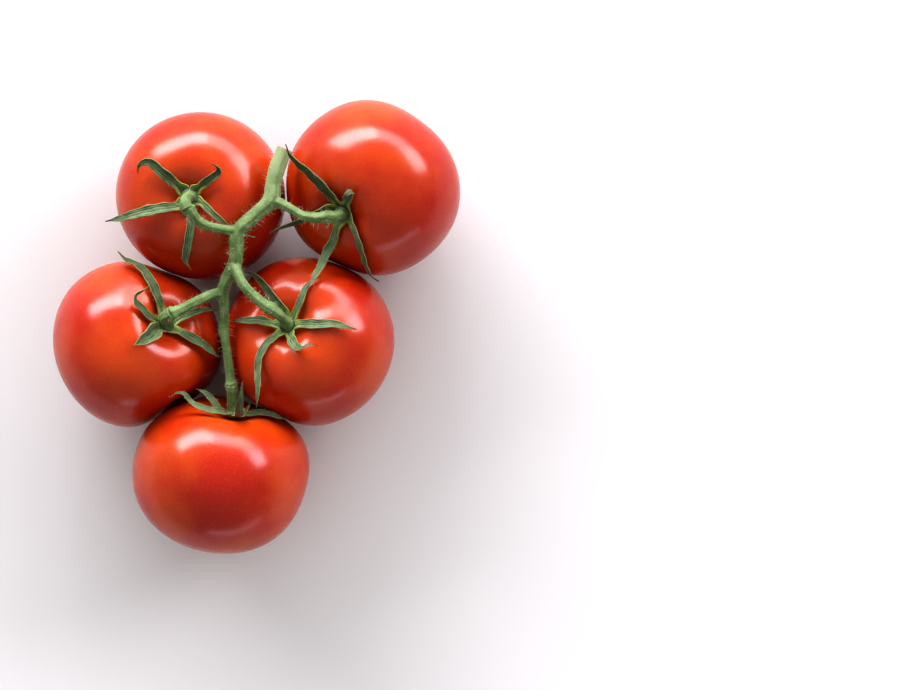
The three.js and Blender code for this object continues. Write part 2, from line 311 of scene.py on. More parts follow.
@dataclass(frozen=True)
class StemFinish:
    """Matt green stem, paler towards the cut, speckled, with a dry cut face."""

    green: tuple = (0.080, 0.146, 0.036)
    light: tuple = (0.160, 0.243, 0.088)
    pale: tuple = (0.26, 0.33, 0.155)
    speck: tuple = (0.30, 0.37, 0.24)
    dry: tuple = (0.30, 0.20, 0.10)

    def material(self) -> bpy.types.Material:
        """Builds the stem's material."""
        stem = Recipe("green_stem")
        colour = stem.blend(stem.span(stem.noise(260, 4.0), 0.32, 0.68), self.green, self.light)
        colour = stem.blend(stem.stored("pale"), colour, self.pale)
        where = stem.span(stem.noise(500), 0.4, 0.6, 0.55)
        specks = stem.maths("MULTIPLY", stem.dots(1100, 0.16, 0.2), where)
        colour = stem.blend(specks, colour, self.speck)
        colour = stem.blend(stem.stored("cut"), colour, self.dry)
        lumps = stem.bump(stem.noise(900, 3.0, 0.6), 0.16)
        lumps = stem.bump(specks, 0.06, lumps)
        stem.set(Base_Color=colour, Roughness=0.62, Normal=lumps, Subsurface_Weight=0.08)
        stem.set(Subsurface_Scale=0.002, Sheen_Weight=0.12, Sheen_Roughness=0.4)
        stem.shader.inputs["Sheen Tint"].default_value = (0.8, 0.95, 0.75, 1)
        return stem.material


@dataclass(frozen=True)
class SepalFinish:
    """Matt leaf green with lengthwise veins, thin pale edges, yellow-green notches and dry tips."""

    vein: tuple = (0.012, 0.026, 0.008)
    dark: tuple = (0.050, 0.078, 0.022)
    light: tuple = (0.145, 0.215, 0.100)
    edge: tuple = (0.27, 0.30, 0.11)
    notch: tuple = (0.30, 0.37, 0.070)
    dry: tuple = (0.12, 0.062, 0.03)

    def material(self) -> bpy.types.Material:
        """Builds the sepals' material."""
        leaf = Recipe("leaf_green")
        across = leaf.maths("ABSOLUTE", leaf.stored("across"))
        wander = leaf.maths("MULTIPLY", leaf.noise(420, 3.0), 6.0)
        ribs = leaf.maths("SINE", leaf.maths("ADD", leaf.maths("MULTIPLY", across, 15.0), wander))
        veins = leaf.span(ribs, -0.2, 0.95)
        blotch = leaf.span(leaf.noise(380, 5.0, 0.65), 0.42, 0.62, 0.85)
        tone = leaf.maths("ADD", leaf.stored("tone"), leaf.maths("MULTIPLY", leaf.noise(300, 4.0, 0.6), 0.9))
        colour = leaf.blend(leaf.span(tone, 0.35, 1.35), self.dark, self.light)
        colour = leaf.blend(leaf.maths("MULTIPLY", veins, blotch), colour, self.vein)
        edge = leaf.maths("ADD", across, leaf.maths("MULTIPLY", leaf.noise(700), 0.14))
        colour = leaf.blend(leaf.span(edge, 0.93, 1.05, 0.6), colour, self.edge)
        near = leaf.span(leaf.stored("along"), 6.0, 1.0)
        side = leaf.span(across, 0.12, 0.5, 0.9)
        colour = leaf.blend(leaf.maths("MULTIPLY", near, side), colour, self.notch)
        colour = leaf.blend(leaf.stored("dry"), colour, self.dry)
        relief = leaf.bump(veins, -0.16)
        relief = leaf.bump(leaf.noise(1300, 3.0), 0.09, relief)
        leaf.set(Base_Color=colour, Roughness=0.6, Normal=relief, Sheen_Weight=0.12, Sheen_Roughness=0.4)
        leaf.shader.inputs["Sheen Tint"].default_value = (0.85, 0.95, 0.8, 1)
        return leaf.material


@dataclass(frozen=True)
class HairFinish:
    """Fine translucent hairs."""

    colour: tuple = (0.60, 0.60, 0.44)

    def material(self) -> bpy.types.Material:
        """Builds the hairs' material."""
        hair = Recipe("fine_hair")
        tint = hair.blend(hair.noise(300), self.colour, (0.72, 0.68, 0.56))
        hair.set(Base_Color=tint, Roughness=0.5)
        return hair.material


# ---------------------------------------------------------------- tomatoes


@dataclass
class Tomato:
    """One fruit: a squat ball with a stem pit, soft ribs round it, and a side pressed by its neighbours."""

    number: int
    at: tuple[float, float, float]
    across: float
    deep: float
    lean: float
    towards: float
    lobes: int
    turn: float
    rib: float
    pit: float
    pit_width: float
    presses: list[tuple[float, float, float, float]]
    pucker: float = 0.10
    pucker_count: int = 7

    @property
    def axis(self) -> Array:
        """The direction from the fruit's middle to its stem end."""
        return direction(self.towards, 90 - self.lean)

    def basis(self) -> Array:
        """Returns the fruit's side, back and stem directions as rows."""
        side = unit(np.array([1.0, 0, 0]) - self.axis * self.axis[0])
        return np.array([side, np.cross(self.axis, side), self.axis])

    def skin(self, down: Array, around: Array, fine: bool = False) -> Array:
        """Gives points of the skin.

        Args:
            down: Angle down from the stem end, in radians.
            around: Angle round the axis, in radians.
            fine: Whether to add the small puckers and lumps.

        Returns:
            Points in the drawing frame, in millimetres.
        """
        down, around = np.broadcast_arrays(np.asarray(down, float), np.asarray(around, float))
        power = 2 / FULLNESS
        near = np.exp(-(((down - 0.75) / 0.55) ** 2))
        ribs = 1 + self.rib * np.cos(self.lobes * around + self.turn) * near
        out = self.across / 2 * np.abs(np.sin(down)) ** power * ribs
        dip = np.where(down < math.pi / 2, self.pit * np.exp(-((out / self.pit_width) ** 2)), 0)
        level = np.sign(np.cos(down)) * np.abs(np.cos(down)) ** power
        height = self.deep / 2 * level - dip
        if fine:
            out, height = self.worn(down, around, out, height)
        local = np.stack([out * np.cos(around), out * np.sin(around), height], axis=-1)
        points = local @ self.basis()
        for compass, elevation, depth, spread in self.presses:
            size = np.maximum(np.linalg.norm(points, axis=-1), 1e-6)
            off = np.arccos(np.clip(points @ direction(compass, elevation) / size, -1, 1))
            push = depth * np.exp(-((off / math.radians(spread)) ** 2)) * np.minimum(1, size / 15)
            points = points * (1 - push / size)[..., None]
        return points + np.array(self.at)

    def worn(self, down: Array, around: Array, out: Array, height: Array) -> tuple[Array, Array]:
        """Adds puckers round the stem pit, slow lumps and the blossom scar."""
        dice = np.random.default_rng(40 + self.number)
        turns = dice.uniform(0, 2 * math.pi, 6)
        shoulder = np.exp(-(((down - 0.48) / 0.26) ** 2))
        folds = np.cos(self.pucker_count * around + turns[0])
        folds = folds + 0.6 * np.cos((self.pucker_count - 3) * around + turns[1])
        lumps = 0.22 * np.cos(3 * around + turns[2]) * np.sin(2 * down) + 0.16 * np.cos(2 * around + turns[3])
        lumps = lumps * np.sin(down) ** 2
        scar = 0.9 * np.exp(-((out / 2.0) ** 2)) * (down > math.pi / 2)
        return out + lumps, height + self.pucker * shoulder * folds + scar

    def normal(self, down: Array, around: Array) -> Array:
        """Gives the skin's outward directions."""
        step = 0.02
        wide = step / np.maximum(np.sin(down), 0.05)
        along = self.skin(down + step, around) - self.skin(down, around)
        across = self.skin(down, around + wide) - self.skin(down, around - wide)
        return unit(np.cross(along, across))

    def off_skin(self, down: float, around: float, lift: float) -> Array:
        """Gives a point held off the skin; the angles are in degrees."""
        down, around = math.radians(down), math.radians(around)
        return self.skin(down, around) + self.normal(down, around) * lift

    def build(self) -> bpy.types.Object:
        """Builds the skin as one closed mesh, flat where it rests."""
        down = np.linspace(0, math.pi, SKIN_ROWS + 1)[1:-1]
        around = np.linspace(0, 2 * math.pi, SKIN_COLUMNS, endpoint=False)
        rows = self.skin(down[:, None], around[None, :], fine=True).reshape(-1, 3)
        poles = self.skin(np.array([1e-4, math.pi - 1e-4]), np.zeros(2), fine=True)
        points = np.vstack([rows, poles])
        points[:, 2] = np.maximum(points[:, 2], 0.0)
        index = np.arange(len(rows)).reshape(len(down), SKIN_COLUMNS)
        after = np.roll(index, -1, axis=1)
        faces = np.stack([index[:-1], index[1:], after[1:], after[:-1]], axis=-1).reshape(-1, 4).tolist()
        top, bottom = len(rows), len(rows) + 1
        faces += [[top, a, b] for a, b in zip(index[0].tolist(), after[0].tolist())]
        faces += [[bottom, b, a] for a, b in zip(index[-1].tolist(), after[-1].tolist())]
        share = np.concatenate([np.repeat(down / math.pi, SKIN_COLUMNS), [0, 1]])
        scar = ramp(0.978, 0.992, share)
        return mesh_object(f"tomato_{self.number}_skin", points, faces, {"down": share, "scar": scar})

    def dress(self, piece: bpy.types.Object, finish: bpy.types.Material) -> None:
        piece.data.materials.append(finish)
        declare(piece, f"tomato_{self.number}")


# ---------------------------------------------------------------- calyxes


@dataclass
class Sepal:
    """One sepal: its widths and the path of its middle line.

    Widths are near the hub, at the widest and near the tip. Waypoints are degrees down from the
    fruit's axis, degrees round it, and height off the skin.
    """

    widths: tuple[float, float, float]
    path: list[tuple[float, float, float]]
    fold: float = 0.35
    wave: float = 0.22
    sky: float = 0.0    # how far the blade turns from lying on the skin to facing up
    dry: float = 0.12
    tone: float = 0.5   # 0 is dark olive, 1 is pale grey-green


@dataclass
class Calyx:
    """A star of sepals fused at a hub, one thin sheet with real thickness."""

    tomato: Tomato
    sepals: list[Sepal]
    columns: int = 14
    rows: int = 76
    thick_middle: float = 0.75
    thick_edge: float = 0.36
    hub_rings: tuple = ((3.0, 2.2), (2.45, 2.9), (2.15, 3.6), (1.5, 3.85), (0.7, 3.9))

    def build(self) -> bpy.types.Object:
        """Builds the star as one closed mesh."""
        order = sorted(self.sepals, key=lambda sepal: sepal.path[0][1] % 360)
        starts = [sepal.path[0][1] % 360 for sepal in order]
        bounds = [(a + (b - a) % 360 / 2) for a, b in zip(starts, starts[1:] + [starts[0] + 360])]
        points, along, across, dry, tone, thick, faces = self.ring(starts, bounds)
        ring_size = len(order) * self.columns
        for number, sepal in enumerate(order):
            before = bounds[number - 1] - (360 if bounds[number - 1] > starts[number] else 0)
            blade = self.blade(sepal, starts[number], before, bounds[number], number)
            first = sum(len(part) for part in points)
            grid = np.arange(self.rows * (self.columns + 1)).reshape(self.rows, -1) + first
            root = (number * self.columns + np.arange(self.columns + 1)) % ring_size
            grid = np.vstack([root, grid])
            quads = np.stack([grid[:-1, :-1], grid[1:, :-1], grid[1:, 1:], grid[:-1, 1:]], axis=-1)
            faces += quads.reshape(-1, 4).tolist()
            for whole, part in zip((points, along, across, dry, tone, thick), blade):
                whole.append(part)
        values = {"along": along, "across": across, "dry": dry, "tone": tone}
        values = {key: np.concatenate(parts) for key, parts in values.items()}
        return self.thickened(np.vstack(points), faces, np.concatenate(thick), values)

    def ring(self, starts: list[float], bounds: list[float]) -> tuple:
        """Builds the fused middle: the ring where the sepals part, and the cone up to the stalk."""
        share = np.linspace(-1, 1, self.columns + 1)[:-1]
        angles = []
        for number, start in enumerate(starts):
            before = bounds[number - 1] - (360 if bounds[number - 1] > start else 0)
            turn = np.where(share < 0, start - before, bounds[number] - start)
            angles.append(start + turn * share)
        angle = np.radians(np.concatenate(angles))
        rim = self.tomato.skin(math.radians(HUB_DOWN), angle)
        rim = rim + self.tomato.normal(math.radians(HUB_DOWN) + 0 * angle, angle) * (SEPAL_CLEAR + 1.2)
        seat = self.tomato.skin(0.0, 0.0)
        side, back, up = self.tomato.basis()
        levels = [rim]
        for radius, rise in self.hub_rings:
            outward = np.cos(angle)[:, None] * side + np.sin(angle)[:, None] * back
            levels.append(seat + up * rise + radius * outward)
        levels.append((seat + up * self.hub_rings[-1][1])[None, :])
        size, count = len(angle), len(self.hub_rings)
        faces = []
        for level in range(count):
            low, high = level * size, (level + 1) * size
            faces += [[high + i, low + i, low + (i + 1) % size, high + (i + 1) % size] for i in range(size)]
        last, tip = count * size, (count + 1) * size
        faces += [[tip, last + i, last + (i + 1) % size] for i in range(size)]
        total = tip + 1
        across = np.concatenate([np.tile(share, len(starts))] + [np.zeros(total - size)])
        thick = np.full(total, self.thick_middle)
        bare = np.zeros(total)
        return [np.vstack(levels)], [bare], [0.5 * across], [bare], [bare + 0.4], [thick], faces

    def blade(self, sepal: Sepal, start: float, before: float, after: float, number: int) -> tuple:
        """Builds one sepal's rows, from the hub's ring out to its tip."""
        tomato = self.tomato
        dice = np.random.default_rng(100 * tomato.number + number)
        phase = dice.uniform(0, 2 * math.pi, 4)
        path = [(HUB_DOWN, sepal.path[0][1], 1.2), *sepal.path]
        spots = [[*tomato.off_skin(d, a, lift + SEPAL_CLEAR), d, lift + SEPAL_CLEAR] for d, a, lift in path]
        line = spline(np.array(spots), self.rows + 1)[1:]
        centre = line[:, :3]
        share = np.linspace(0, 1, self.rows + 1)[1:]
        length = np.linalg.norm(np.diff(centre, axis=0), axis=1).sum()
        tangents = unit(np.gradient(centre, axis=0))
        up = tomato.normal(math.radians(HUB_DOWN), math.radians(sepal.path[0][1]))
        sides = carried(tangents, np.cross(up, tangents[0]))
        skyward = 2 * sepal.sky * ramp(0.0, 0.3, share)[:, None]
        facing = np.cross(tangents, sides) + np.array([0, 0, 1.0]) * skyward
        sides = unit(np.cross(facing, tangents))
        ups = np.cross(tangents, sides)
        width = np.interp(share, [0, 0.12, 0.35, 0.6, 0.78, 0.9, 1.0],
                          [sepal.widths[0] * 1.3, sepal.widths[0], sepal.widths[1],
                           (sepal.widths[1] + sepal.widths[2]) / 2, sepal.widths[2], 0.75, 0.28])
        width = np.convolve(np.pad(width, 4, mode="edge"), np.ones(9) / 9, mode="valid")
        width = width * (1 + 0.05 * np.sin(share * length * 1.1 + phase[2]))
        column = np.linspace(-1, 1, self.columns + 1)
        edge = np.abs(column) ** 1.4
        rise = sepal.fold * edge[None, :] * width[:, None] / 2
        ripple = np.where(column[None, :] < 0, np.sin(share[:, None] * length * 0.9 + phase[0]),
                          np.sin(share[:, None] * length * 1.07 + phase[1]))
        rise = rise + sepal.wave * ripple * edge[None, :] * np.minimum(width[:, None] / 3, 1)
        reach = column[None, :] * width[:, None] / 2 * (1 - 0.25 * sepal.fold)
        ribbon = centre[:, None, :] + sides[:, None, :] * reach[..., None] + ups[:, None, :] * rise[..., None]
        angle = np.where(column < 0, start + (start - before) * column, start + (after - start) * column)
        angle = np.radians(np.broadcast_to(angle, ribbon.shape[:2]))
        down = np.radians(np.clip(np.broadcast_to(line[:, 3:4], angle.shape), HUB_DOWN, 30))
        fan = tomato.skin(down, angle) + tomato.normal(down, angle) * line[:, 4:5, None]
        freed = ramp(0.0, 3.2, share * length)[:, None, None]
        rows = fan * (1 - freed) + ribbon * freed
        thin = np.interp(share, [0, 0.75, 1], [1, 0.9, 0.75])[:, None]
        crown = (self.thick_middle - self.thick_edge) * np.exp(-((column / 0.3) ** 2))
        thick = (self.thick_edge + crown)[None, :] * thin
        across = np.broadcast_to(column, rows.shape[:2]) * (0.5 + 0.5 * freed[..., 0])
        along = np.broadcast_to((share * length)[:, None], rows.shape[:2])
        dry = np.broadcast_to(ramp(1 - sepal.dry, 1.0, share)[:, None], rows.shape[:2])
        tone = np.full(dry.size, sepal.tone)
        return (rows.reshape(-1, 3), along.ravel(), across.ravel(), dry.ravel(), tone, thick.ravel())

    def thickened(self, points: Array, faces: list, thick: Array,
                  values: dict[str, Array]) -> bpy.types.Object:
        """Gives the sheet its thickness and closes its edges."""
        normals = np.zeros_like(points)
        edges = {}
        for face in faces:
            a, b, c = points[face[0]], points[face[1]], points[face[2]]
            if len(face) == 3:
                normals[face] += np.cross(b - a, c - a)
            else:
                normals[face] += np.cross(c - a, points[face[3]] - b)
            for one, two in zip(face, face[1:] + face[:1]):
                edges[(one, two)] = (two, one) not in edges
                if not edges[(one, two)]:
                    edges[(two, one)] = False
        normals = unit(normals)
        half = thick[:, None] / 2
        count = len(points)
        both = np.vstack([points + normals * half, points - normals * half])
        shell = list(faces) + [[i + count for i in reversed(face)] for face in faces]
        shell += [[b, a, a + count, b + count] for (a, b), free in edges.items() if free]
        values = {**values, "hairy": np.abs(values["across"]) ** 3}
        return mesh_object(f"calyx_{self.tomato.number}_star", both, shell,
                           {key: np.tile(number, 2) for key, number in values.items()})

    def dress(self, piece: bpy.types.Object, finish: bpy.types.Material, fuzz: "Fuzz") -> None:
        piece.data.materials.append(finish)
        fuzz.grow(piece, Growth(per_mm2=0.9, length=0.8, thick=0.035, seed=self.tomato.number))
        declare(piece, f"calyx_{self.tomato.number}")


# ---------------------------------------------------------------- vine and stalks


@dataclass
class Shoot:
    """One round shoot through waypoints of [x, y, z, radius], with rings where it swells."""

    path: list[tuple[float, float, float, float]]
    rings: list[tuple[float, float, float]] = field(default_factory=list)  # share along, height, width
    ridge: float = 0.05
    longer: tuple[float, float] = (0.0, 0.0)
    sides: int = 36

    def shell(self, seed: int) -> tuple[Array, list]:
        """Returns the shoot's points and faces, closed at both ends."""
        dice = np.random.default_rng(seed)
        turns = dice.uniform(0, 2 * math.pi, 5)
        path = np.array(self.path, float)
        reach = np.linalg.norm(np.diff(path[:, :3], axis=0), axis=1).sum()
        line = spline(path, max(8, int(reach / 0.35)))
        tangents = unit(np.gradient(line[:, :3], axis=0))
        line[0, :3] -= tangents[0] * self.longer[0]
        line[-1, :3] += tangents[-1] * self.longer[1]
        first = unit(np.cross(tangents[0], [0.3, 0.2, 1.0]))
        sides = carried(tangents, first)
        backs = np.cross(tangents, sides)
        share = np.linspace(0, 1, len(line))[:, None]
        angle = np.linspace(0, 2 * math.pi, self.sides, endpoint=False)[None, :]
        size = line[:, 3:4] * (1 + self.ridge * np.cos(5 * angle + turns[0] + 1.5 * share)
                               + 0.5 * self.ridge * np.cos(9 * angle + turns[1] - share * 2))
        size = size * (1 + 0.035 * np.sin(share * reach * 0.55 + turns[2] + 1.2 * np.sin(angle + turns[3])))
        for where, height, width in self.rings:
            size = size + height * np.exp(-(((share - where) * reach / width) ** 2))
        rows = (line[:, None, :3] + sides[:, None, :] * (size * np.cos(angle))[..., None]
                + backs[:, None, :] * (size * np.sin(angle))[..., None])
        points = np.vstack([rows.reshape(-1, 3), line[:1, :3], line[-1:, :3]])
        index = np.arange(rows.shape[0] * self.sides).reshape(rows.shape[0], self.sides)
        after = np.roll(index, -1, axis=1)
        faces = np.stack([index[:-1], after[:-1], after[1:], index[1:]], axis=-1).reshape(-1, 4).tolist()
        low, high = len(points) - 2, len(points) - 1
        faces += [[low, b, a] for a, b in zip(index[0].tolist(), after[0].tolist())]
        faces += [[high, a, b] for a, b in zip(index[-1].tolist(), after[-1].tolist())]
        return points, faces


@dataclass
class Stem:
    """Green stem tissue: one or more shoots grown together into one skin."""

    name: str
    node: str
    shoots: list[Shoot]
    seed: int
    cut_end: tuple | None = None
    voxel: float = 0.26
    hairs: float = 0.55    # per square millimetre

    def build(self) -> bpy.types.Object:
        """Builds the shoots, grows them together and stores the numbers that the finish reads."""
        points, faces = [], []
        for number, shoot in enumerate(self.shoots):
            first = sum(len(part) for part in points)
            part, part_faces = shoot.shell(self.seed + number)
            points.append(part)
            faces += [[i + first for i in face] for face in part_faces]
        piece = mesh_object(self.name, np.vstack(points), faces, {})
        weld = piece.modifiers.new("grown_together", "REMESH")
        weld.mode = "VOXEL"
        weld.voxel_size = self.voxel * MM
        weld.use_smooth_shade = True
        soft = piece.modifiers.new("softened", "SMOOTH")
        soft.factor = 0.5
        soft.iterations = 3
        settle(piece)
        self.mark(piece)
        return piece

    def mark(self, piece: bpy.types.Object) -> None:
        """Stores how pale, how freshly cut and how hairy each point is."""
        count = len(piece.data.vertices)
        flat = np.zeros(count * 3, np.float32)
        piece.data.vertices.foreach_get("co", flat)
        place = flat.reshape(-1, 3) / MM - TRUSS_SHIFT
        pale = ramp(38.0, 70.0, place[:, 1]) if self.cut_end else np.zeros(count)
        cut = np.zeros(count)
        if self.cut_end:
            end, back = np.array(self.cut_end[0]), np.array(self.cut_end[1])
            out = unit(end - back)
            cut = ramp(-0.75, -0.2, (place - end) @ out) * (np.linalg.norm(place - end, axis=1) < 5)
        for key, numbers in (("pale", pale), ("cut", cut), ("hairy", 1 - cut)):
            layer = piece.data.attributes.new(key, "FLOAT", "POINT")
            layer.data.foreach_set("value", np.asarray(numbers, np.float32))

    def dress(self, piece: bpy.types.Object, finish: bpy.types.Material, fuzz: "Fuzz") -> None:
        piece.data.materials.clear()
        piece.data.materials.append(finish)
        fuzz.grow(piece, Growth(per_mm2=self.hairs, length=2.2, thick=0.034, seed=self.seed))
        declare(piece, self.node)


# ---------------------------------------------------------------- hairs


@dataclass(frozen=True)
class Growth:
    """How a surface is hairy: hairs per square millimetre, their length and thickness, and a seed."""

    per_mm2: float
    length: float
    thick: float
    seed: int


class Fuzz:
    """Fine hairs that stand on a surface, made by Geometry Nodes."""

    def __init__(self, finish: bpy.types.Material) -> None:
        """Builds the node tree once, for every hairy piece."""
        self.finish = finish
        self.tree = bpy.data.node_groups.new("stand_hairs", "GeometryNodeTree")
        face = self.tree.interface
        face.new_socket("Geometry", in_out="INPUT", socket_type="NodeSocketGeometry")
        self.inputs = {
            name: face.new_socket(name, in_out="INPUT", socket_type=kind).identifier
            for name, kind in (("Density", "NodeSocketFloat"), ("Length", "NodeSocketFloat"),
                               ("Radius", "NodeSocketFloat"), ("Lean", "NodeSocketFloat"),
                               ("Seed", "NodeSocketInt"))
        }
        face.new_socket("Geometry", in_out="OUTPUT", socket_type="NodeSocketGeometry")
        self.wire()

    def node(self, kind: str, feeds: dict | None = None, **settings: object) -> bpy.types.Node:
        """Adds a node, sets it and links or sets its inputs."""
        made = self.tree.nodes.new(kind)
        for key, value in settings.items():
            setattr(made, key, value)
        for key, value in (feeds or {}).items():
            if isinstance(value, bpy.types.NodeSocket):
                self.tree.links.new(value, made.inputs[key])
            else:
                made.inputs[key].default_value = value
        return made

    def wire(self) -> None:
        """Wires the tree: scatter points, stand a bent hair on each, make them real."""
        given = self.node("NodeGroupInput").outputs
        hairy = self.node("GeometryNodeInputNamedAttribute", {"Name": "hairy"}, data_type="FLOAT")
        density = self.node("ShaderNodeMath", {0: given["Density"], 1: hairy.outputs["Attribute"]},
                            operation="MULTIPLY")
        spots = self.node("GeometryNodeDistributePointsOnFaces",
                          {"Mesh": given["Geometry"], "Density": density.outputs[0], "Seed": given["Seed"]})
        cone = self.node("GeometryNodeMeshCone", {"Vertices": 3, "Side Segments": 3, "Radius Top": 0.000006,
                                                  "Radius Bottom": given["Radius"], "Depth": given["Length"]})
        place = self.node("GeometryNodeInputPosition")
        split = self.node("ShaderNodeSeparateXYZ", {0: place.outputs[0]})
        rise = self.node("ShaderNodeMath", {0: split.outputs["Z"], 1: given["Length"]}, operation="DIVIDE")
        square = self.node("ShaderNodeMath", {0: rise.outputs[0], 1: 2.0}, operation="POWER")
        bend = self.node("ShaderNodeMath", {0: square.outputs[0], 1: given["Length"]}, operation="MULTIPLY")
        aside = self.node("ShaderNodeMath", {0: bend.outputs[0], 1: 0.35}, operation="MULTIPLY")
        offset = self.node("ShaderNodeCombineXYZ", {0: aside.outputs[0]})
        bent = self.node("GeometryNodeSetPosition",
                         {"Geometry": cone.outputs["Mesh"], "Offset": offset.outputs[0]})
        hair = self.node("GeometryNodeStoreNamedAttribute",
                         {"Geometry": bent.outputs[0], "Name": "hair", "Value": True},
                         data_type="BOOLEAN", domain="FACE")
        tilt = self.node("FunctionNodeRandomValue", {0: (-1, -1, -1), 1: (1, 1, 1), "Seed": given["Seed"]},
                         data_type="FLOAT_VECTOR")
        leant = self.node("ShaderNodeVectorMath", {0: tilt.outputs[0], "Scale": given["Lean"]},
                          operation="SCALE")
        aim = self.node("ShaderNodeVectorMath", {0: spots.outputs["Normal"], 1: leant.outputs[0]},
                        operation="ADD")
        spin = self.node("FunctionNodeRandomValue", {2: 0.0, 3: 2 * math.pi, "Seed": 5}, data_type="FLOAT")
        about = self.node("FunctionNodeAxisAngleToRotation", {"Axis": (0, 0, 1), "Angle": spin.outputs[1]})
        stand = self.node("FunctionNodeAlignRotationToVector",
                          {"Rotation": about.outputs[0], "Vector": aim.outputs[0]}, axis="Z")
        size = self.node("FunctionNodeRandomValue", {2: 0.4, 3: 1.15, "Seed": 9}, data_type="FLOAT")
        sprout = self.node("GeometryNodeInstanceOnPoints",
                           {"Points": spots.outputs["Points"], "Instance": hair.outputs[0],
                            "Rotation": stand.outputs[0], "Scale": size.outputs[1]})
        joined = self.node("GeometryNodeJoinGeometry")
        self.tree.links.new(given["Geometry"], joined.inputs[0])
        self.tree.links.new(sprout.outputs[0], joined.inputs[0])
        real = self.node("GeometryNodeRealizeInstances", {"Geometry": joined.outputs[0]})
        grown = self.node("GeometryNodeInputNamedAttribute", {"Name": "hair"}, data_type="BOOLEAN")
        dyed = self.node("GeometryNodeSetMaterial", {"Geometry": real.outputs[0], "Material": self.finish,
                                                     "Selection": grown.outputs["Attribute"]})
        self.node("NodeGroupOutput", {"Geometry": dyed.outputs[0]})

    def grow(self, piece: bpy.types.Object, growth: Growth) -> None:
        """Grows hairs on a piece and makes the result plain."""
        stand = piece.modifiers.new("hairs", "NODES")
        stand.node_group = self.tree
        wanted = {"Density": growth.per_mm2 / MM ** 2, "Length": growth.length * MM,
                  "Radius": growth.thick * MM, "Lean": 0.55, "Seed": growth.seed}
        for name, value in wanted.items():
            stand[self.inputs[name]] = value
        settle(piece)
        slots = piece.data.materials    # the bare hair brought an empty slot with it
        for index in reversed(range(len(slots))):
            if slots[index] is None:
                slots.pop(index=index)


# ---------------------------------------------------------------- the truss


TOMATOES = [
    Tomato(1, (-21.6, 50.9, 27.7), 64.6, 56, 5, 219, 5, 0.6, 0.010, 6, 9,
           [(215, 0, 0.8, 30), (320, 0, -0.7, 30), (250, -14, 1.4, 22)]),
    Tomato(2, (44.1, 53.6, 31.1), 67, 58, 35, 225, 5, 0.2, 0.014, 6, 9,
           [(55, 10, 1.4, 25), (105, 0, -0.6, 25), (350, 0, -0.6, 30), (250, -10, 1.9, 22),
            (184, 0, 0.4, 30)]),
    Tomato(3, (-45.2, -6, 30.3), 64.4, 56, 39, 33, 6, 0.2, 0.014, 6, 9,
           [(200, 0, 0.8, 30), (135, 0, -1.5, 28), (304, 8, 6, 23), (286, -12, 1.6, 22), (70, 0, 1.8, 22),
            (0, 0, 0.4, 25)]),
    Tomato(4, (19.8, -4.6, 29), 65.4, 56, 23, 137, 6, 0.9, 0.018, 7, 9.5,
           [(130, 0, -0.5, 25), (67, 0, 1.3, 22), (240, -2, 2.9, 22)], pucker=0.38, pucker_count=6),
    Tomato(5, (-13.3, -54.6, 32.9), 66.6, 58, 70, 77, 6, 0.2, 0.016, 6, 9.5,
           [(90, 0, 0.9, 30), (25, 0, -0.9, 28), (335, 0, 0.7, 28), (126, -8, 1.8, 22), (140, -18, 0.8, 22),
            (60, -6, 1.8, 22)]),
]

